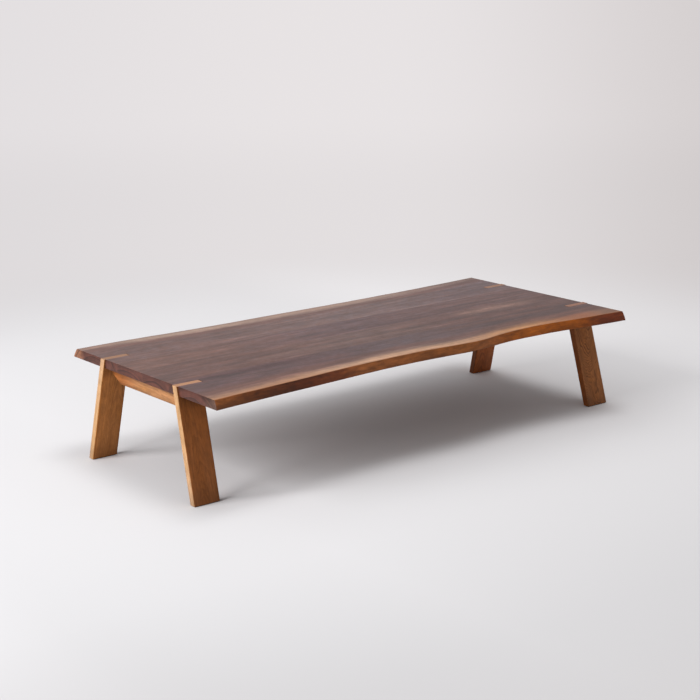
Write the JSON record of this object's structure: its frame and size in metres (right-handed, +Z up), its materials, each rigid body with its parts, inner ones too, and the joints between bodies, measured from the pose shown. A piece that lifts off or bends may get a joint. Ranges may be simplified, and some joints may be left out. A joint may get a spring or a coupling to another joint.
{
  "type": "low table",
  "caption": "Long low table: dark wood top with natural front and rear edges, on splayed pale board legs that pass up through its end slots, tied by a rail under each end.",
  "frame": {"origin": "centre of the table's plan, on the floor under the foot pads", "axes": "+X along the table's length to the right, +Y to the rear natural edge, +Z up"},
  "size_m": [1.8328, 0.8907, 0.37],
  "materials": {
    "top_front_board": "oiled dark walnut, pale sapwood along the natural edges",
    "top_front_middle_board": "oiled dark walnut, pale sapwood along the natural edges",
    "top_rear_middle_board": "oiled dark walnut, pale sapwood along the natural edges",
    "top_rear_board": "oiled dark walnut, pale sapwood along the natural edges",
    "leg_front_left": "oiled oak",
    "leg_rear_left": "oiled oak",
    "leg_front_right": "oiled oak",
    "leg_rear_right": "oiled oak",
    "rail_oak": "oiled oak",
    "batten_oak": "oiled oak, sawn face",
    "tongue_wood": "plain beech, glued in",
    "bolt_steel": "blackened steel",
    "washer_steel": "zinc plated",
    "insert_brass": "plain brass",
    "screw_steel": "yellow zinc plated",
    "pad_felt": "brown felt"
  },
  "bodies": {
    "root": {"top_front_board": "top_front_board", "top_front_middle_board": "top_front_middle_board", "top_rear_middle_board": "top_rear_middle_board", "top_rear_board": "top_rear_board", "leg_front_left": "leg_front_left", "leg_rear_left": "leg_rear_left", "leg_front_right": "leg_front_right", "leg_rear_right": "leg_rear_right", "rail_left": "rail_oak", "rail_right": "rail_oak", "cross_batten_left": "batten_oak", "cross_batten_right": "batten_oak", "front_joint_tongues": "tongue_wood", "middle_joint_tongues": "tongue_wood", "rear_joint_tongues": "tongue_wood", "left_rail_bolts": "bolt_steel", "right_rail_bolts": "bolt_steel", "left_bolt_washers": "washer_steel", "right_bolt_washers": "washer_steel", "left_top_inserts": "insert_brass", "right_top_inserts": "insert_brass", "left_batten_screws": "screw_steel", "right_batten_screws": "screw_steel", "foot_pad_front_left": "pad_felt", "foot_pad_rear_left": "pad_felt", "foot_pad_front_right": "pad_felt", "foot_pad_rear_right": "pad_felt"}
  },
  "joints": []
}
